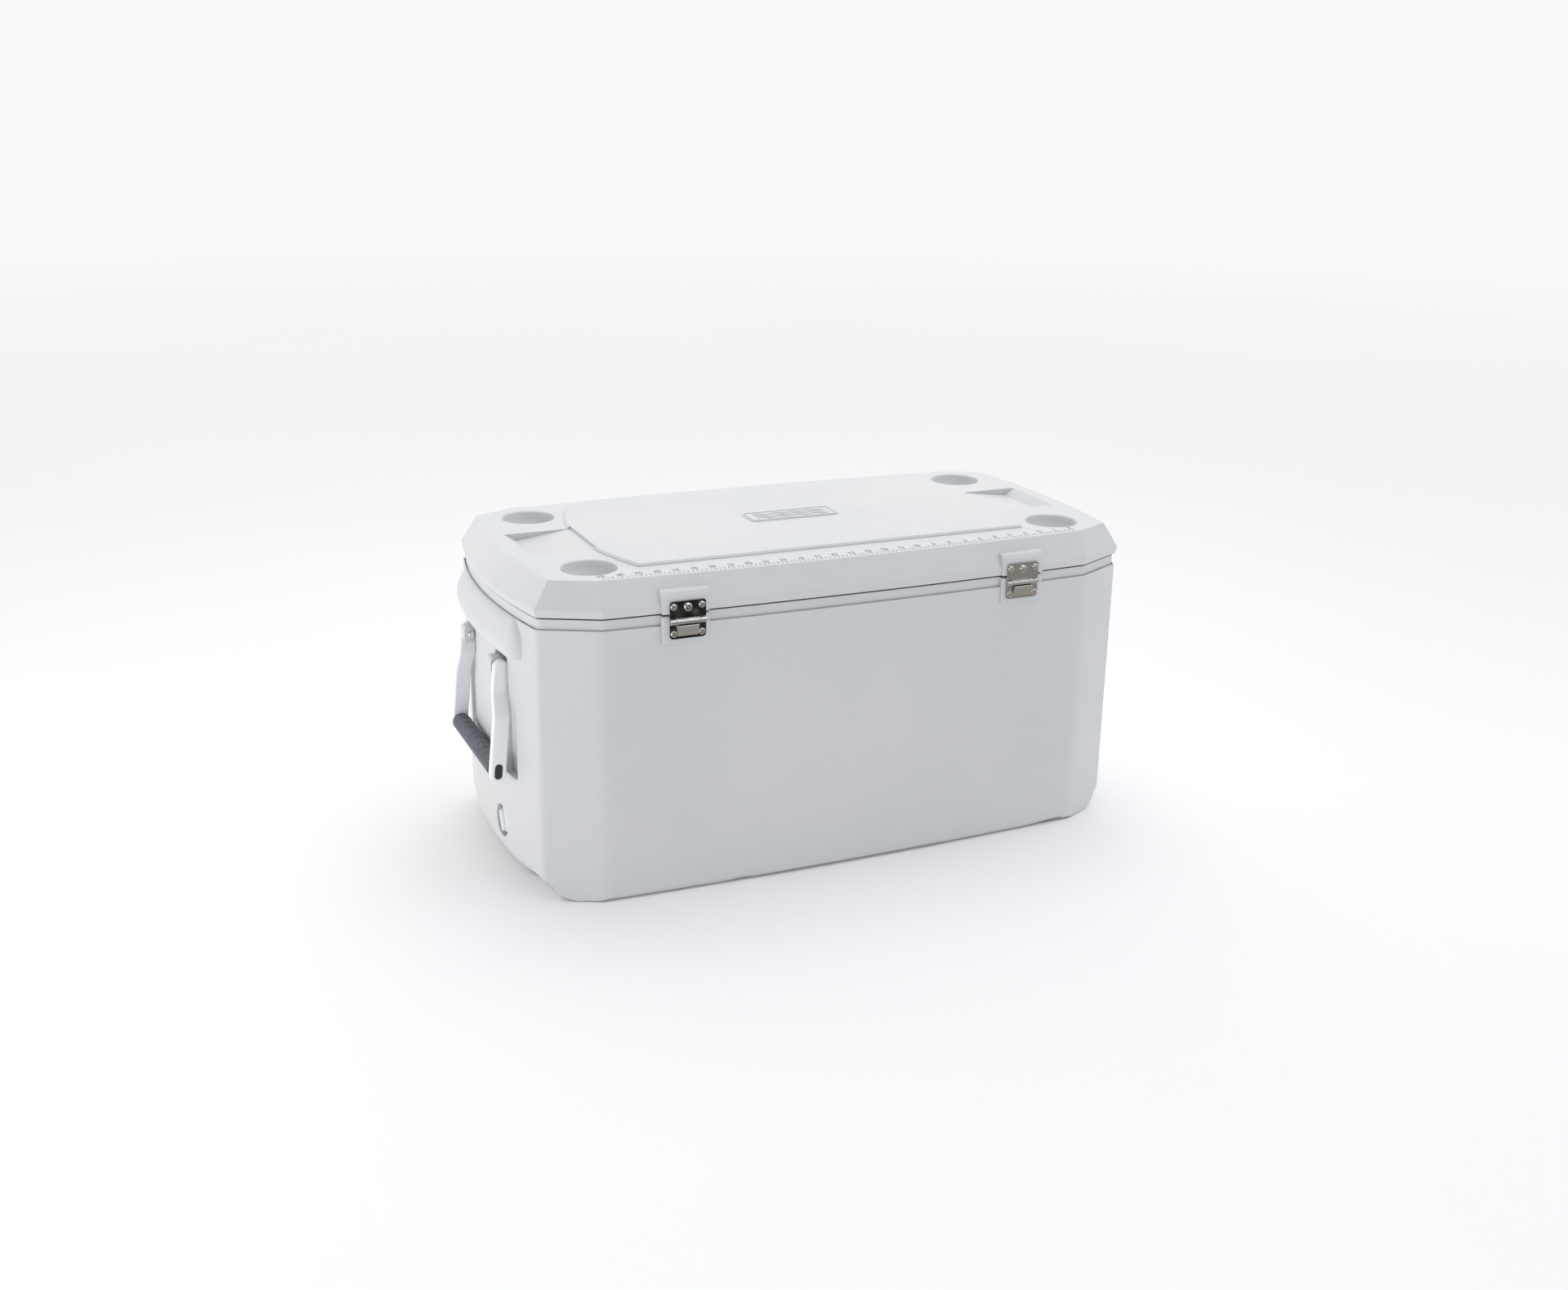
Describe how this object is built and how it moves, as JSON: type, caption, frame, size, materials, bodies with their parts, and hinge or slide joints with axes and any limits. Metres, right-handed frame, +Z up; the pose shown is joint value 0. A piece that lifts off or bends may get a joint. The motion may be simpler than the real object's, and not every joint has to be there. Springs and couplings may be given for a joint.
{
  "type": "cooler chest",
  "caption": "Insulated hard-shell cooler chest with hinged lid, swinging end handles, cup holders, bait trays and a screw-cap drain.",
  "frame": {"origin": "centre of the resting plane, under the middle of the tub", "axes": "+Z up, X along the long side with the drain at +X, hinges on the +Y side, the lid opens from the -Y side"},
  "size_m": [0.9824, 0.4812, 0.452],
  "materials": {
    "white_shell": "satin moulded white, faintly cool",
    "white_liner": "satin white",
    "foam": "closed-cell insulating foam",
    "seal_rubber": "soft black rubber",
    "pale_badge": "smooth moulded plaque",
    "hinge_steel": "polished stainless sheet",
    "screw_steel": "stainless",
    "white_arm": "satin moulded white",
    "grip_rubber": "ribbed slate-grey rubber",
    "dark_core": "dark moulded plastic",
    "pin_steel": "stainless"
  },
  "bodies": {
    "tub": {"body_shell": "white_shell", "body_liner": "white_liner", "body_foam": "foam", "drain_spout": "white_liner", "drain_nut": "white_liner", "drain_gasket": "seal_rubber", "hinge_right_body_leaf": "hinge_steel", "hinge_right_pin": "hinge_steel", "hinge_right_body_screws": "screw_steel", "handle_right_pivot_pins": "pin_steel", "hinge_left_body_leaf": "hinge_steel", "hinge_left_pin": "hinge_steel", "hinge_left_body_screws": "screw_steel", "handle_left_pivot_pins": "pin_steel"},
    "lid": {"lid_shell": "white_shell", "lid_liner": "white_liner", "lid_foam": "foam", "lid_gasket": "seal_rubber", "lid_plaque": "pale_badge", "hinge_right_lid_leaf": "hinge_steel", "hinge_right_lid_screws": "screw_steel", "hinge_left_lid_leaf": "hinge_steel", "hinge_left_lid_screws": "screw_steel"},
    "handle_right": {"handle_right_front_arm": "white_arm", "handle_right_rear_arm": "white_arm", "handle_right_grip_sleeve": "grip_rubber", "handle_right_grip_core": "dark_core"},
    "handle_left": {"handle_left_front_arm": "white_arm", "handle_left_rear_arm": "white_arm", "handle_left_grip_sleeve": "grip_rubber", "handle_left_grip_core": "dark_core"},
    "drain_seal": {"drain_cap_washer": "seal_rubber"},
    "drain_cap": {"drain_cap": "white_arm"}
  },
  "joints": [
    {"name": "lid_hinge", "type": "hinge", "parent": "tub", "child": "lid", "pos_m": [0, 0.2401, 0.39], "axis": [-1, 0, 0], "range_deg": [0, 105]},
    {"name": "handle_right_swing", "type": "hinge", "parent": "tub", "child": "handle_right", "pos_m": [0.4645, 0, 0.305], "axis": [0, -1, 0], "range_deg": [0, 120]},
    {"name": "handle_left_swing", "type": "hinge", "parent": "tub", "child": "handle_left", "pos_m": [-0.4645, 0, 0.305], "axis": [0, 1, 0], "range_deg": [0, 120]},
    {"name": "drain_cap_travel", "type": "slide", "parent": "tub", "child": "drain_seal", "axis": [1, 0, 0], "range_m": [0, 0.0091]},
    {"name": "drain_cap_turn", "type": "hinge", "parent": "drain_seal", "child": "drain_cap", "pos_m": [0.45, 0.055, 0.067], "axis": [1, 0, 0], "range_deg": [0, 1080]}
  ],
  "couplings": [
    {"joint": "drain_cap_travel", "follows": "drain_cap_turn", "m_per_rad": 0.00047746}
  ]
}
